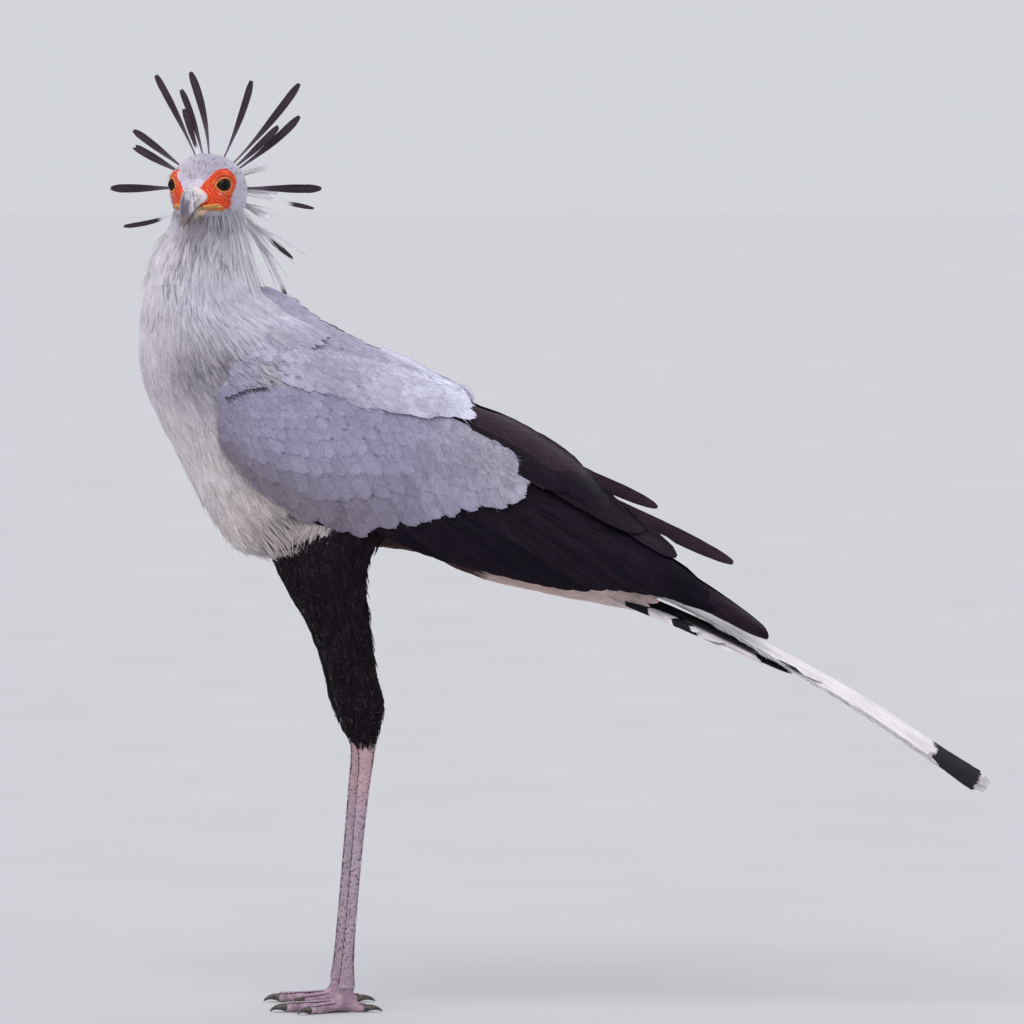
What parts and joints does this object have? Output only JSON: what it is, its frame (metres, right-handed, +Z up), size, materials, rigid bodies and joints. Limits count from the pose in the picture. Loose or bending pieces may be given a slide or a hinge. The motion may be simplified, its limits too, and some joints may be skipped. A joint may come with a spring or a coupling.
{
  "type": "secretary bird",
  "caption": "Still, life-size model of a standing long-legged bird of prey with a raised crest, folded wings and a long trailing tail, its head turned to its left.",
  "frame": {"origin": "middle of the footprint of the whole bird, on the ground plane that its soles stand on", "axes": "-X the way the body faces, +X towards the tail, -Y the bird's left side, +Z up"},
  "size_m": [0.9895, 0.1924, 1.051],
  "materials": {
    "grey_plumage": "pale bluish-grey body, neck and covert feathers, soft and matt, with faint darker shaft lines and pale edges",
    "white_plumage": "off-white breast and belly feathers, soft and loose, faintly mauve in the shade",
    "black_plumage": "brown-black feathers with a faint satin sheen: thighs with fine pale fringes, flight feathers and crest",
    "tail_plumage": "pale grey tail feathers with white edges, black bars and a black patch near the tips",
    "leg_skin": "mauve-pink grey scaled skin, dusty towards the toes",
    "bill_horn": "blue-grey horn, pale and crusted at the root and darker towards the hook",
    "claw_horn": "blackish horn, blunt and slightly worn",
    "eye": "glossy dark brown iris with a black pupil under a clear wet surface"
  },
  "bodies": {
    "root": {"head": "grey_plumage", "bill_upper": "bill_horn", "bill_lower": "bill_horn", "neck": "grey_plumage", "torso": "white_plumage", "tail": "tail_plumage", "eye_left": "eye", "wing_left": "grey_plumage", "thigh_left": "black_plumage", "tarsus_left": "leg_skin", "foot_left": "leg_skin", "claw_left_1": "claw_horn", "claw_left_2": "claw_horn", "claw_left_3": "claw_horn", "claw_left_4": "claw_horn", "eye_right": "eye", "wing_right": "grey_plumage", "thigh_right": "black_plumage", "tarsus_right": "leg_skin", "foot_right": "leg_skin", "claw_right_1": "claw_horn", "claw_right_2": "claw_horn", "claw_right_3": "claw_horn", "claw_right_4": "claw_horn"}
  },
  "joints": []
}
